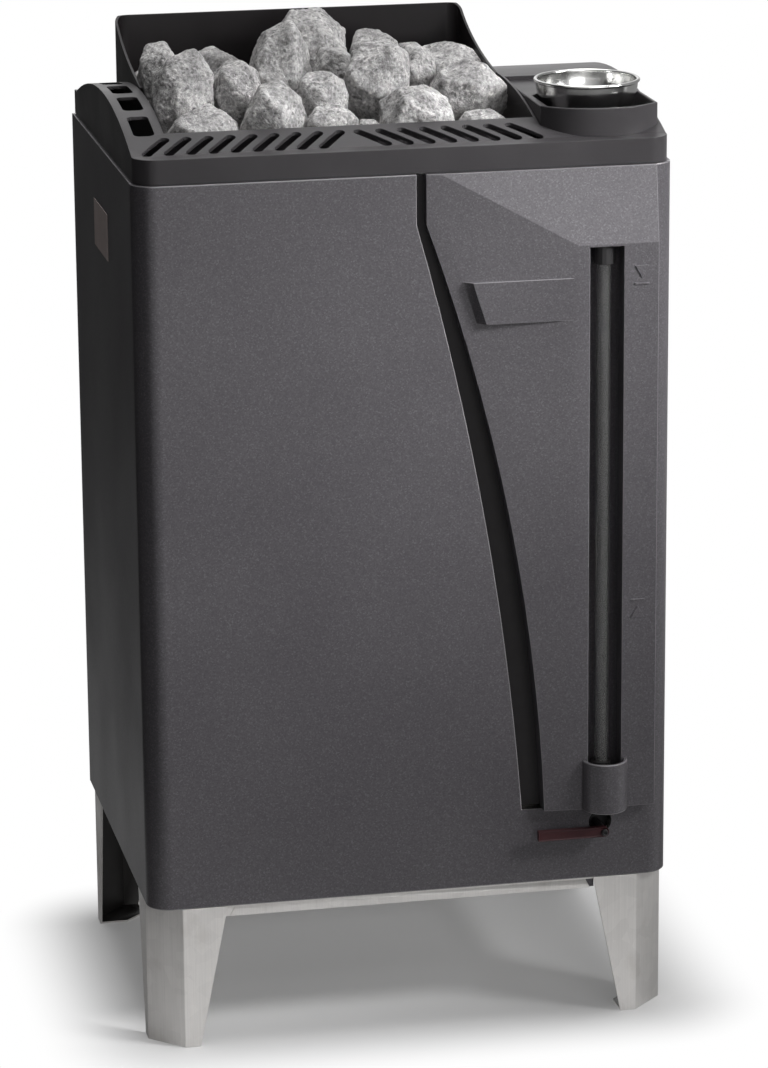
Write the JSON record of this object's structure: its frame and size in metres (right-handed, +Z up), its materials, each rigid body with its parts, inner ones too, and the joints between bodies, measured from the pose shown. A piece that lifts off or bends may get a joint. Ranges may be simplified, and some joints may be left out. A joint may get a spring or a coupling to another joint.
{
  "type": "sauna heater stove",
  "caption": "Floor-standing sauna heater: stone bed in an arched slotted top, steam evaporator with herb cup, sight glass in a facetted front trim, drain lever, sheet-metal legs.",
  "frame": {"origin": "on the floor, in the middle of the stove's footprint", "axes": "+Z up, +X to the right seen from the front, -Y towards the front with the sight glass"},
  "size_m": [0.4706, 0.4116, 0.8776],
  "materials": {
    "powder_coat": "fine metallic powder coat, satin",
    "frame_black": "heat-resistant black coat, matte",
    "galvanised_sheet": "bare galvanised sheet, dull",
    "polished_steel": "polished stainless steel",
    "tank_steel": "stainless sheet, brushed",
    "heat_steel": "heat-tinted steel",
    "screw_steel": "dark screw steel",
    "sight_glass": "clear glass tube",
    "lever_plastic": "dark red moulded plastic",
    "black_plastic": "black moulded plastic",
    "terminal_plastic": "pale moulded plastic",
    "plate_paint": "bare satin plate",
    "granite": "rough broken stone"
  },
  "bodies": {
    "stove": {"casing": "powder_coat", "gauge_cover": "powder_coat", "gauge_socket": "powder_coat", "top_frame": "frame_black", "stone_guard": "frame_black", "evaporator_hood": "frame_black", "leg_front_left": "galvanised_sheet", "leg_front_right": "galvanised_sheet", "leg_rear_left": "galvanised_sheet", "leg_rear_right": "galvanised_sheet", "base_tray": "galvanised_sheet", "heat_shield": "galvanised_sheet", "stone_chamber": "galvanised_sheet", "element_plate": "galvanised_sheet", "tank_stand": "galvanised_sheet", "terminal_box": "galvanised_sheet", "terminal_box_lid": "galvanised_sheet", "rear_panel": "galvanised_sheet", "evaporator_tank": "tank_steel", "stone_grate": "heat_steel", "heating_element_front": "heat_steel", "heating_element_middle": "heat_steel", "heating_element_rear": "heat_steel", "immersion_heater": "heat_steel", "rear_screw_1": "screw_steel", "rear_screw_2": "screw_steel", "rear_screw_3": "screw_steel", "rear_screw_4": "screw_steel", "sight_glass": "sight_glass", "gauge_upper_fitting": "black_plastic", "gauge_lower_fitting": "black_plastic", "drain_valve_body": "black_plastic", "tank_thermostat": "black_plastic", "cable_gland": "black_plastic", "terminal_block": "terminal_plastic", "rating_plate": "plate_paint", "stone_01": "granite", "stone_02": "granite", "stone_03": "granite", "stone_04": "granite", "stone_05": "granite", "stone_06": "granite", "stone_07": "granite", "stone_08": "granite", "stone_09": "granite", "stone_10": "granite", "stone_11": "granite", "stone_12": "granite", "stone_13": "granite", "stone_14": "granite", "stone_15": "granite", "stone_16": "granite", "stone_17": "granite", "stone_18": "granite", "stone_19": "granite", "stone_20": "granite"},
    "drain_handle": {"drain_lever": "lever_plastic", "lever_screw": "black_plastic", "drain_spindle": "black_plastic"},
    "cup": {"herb_cup": "polished_steel"}
  },
  "joints": [
    {"name": "drain_turn", "type": "hinge", "parent": "stove", "child": "drain_handle", "pos_m": [0.1717, -0.1865, 0.1775], "axis": [0, -1, 0], "range_deg": [0, 90]},
    {"name": "cup_lift", "type": "slide", "parent": "stove", "child": "cup", "axis": [0, 0, 1], "range_m": [0, 0.08]}
  ]
}
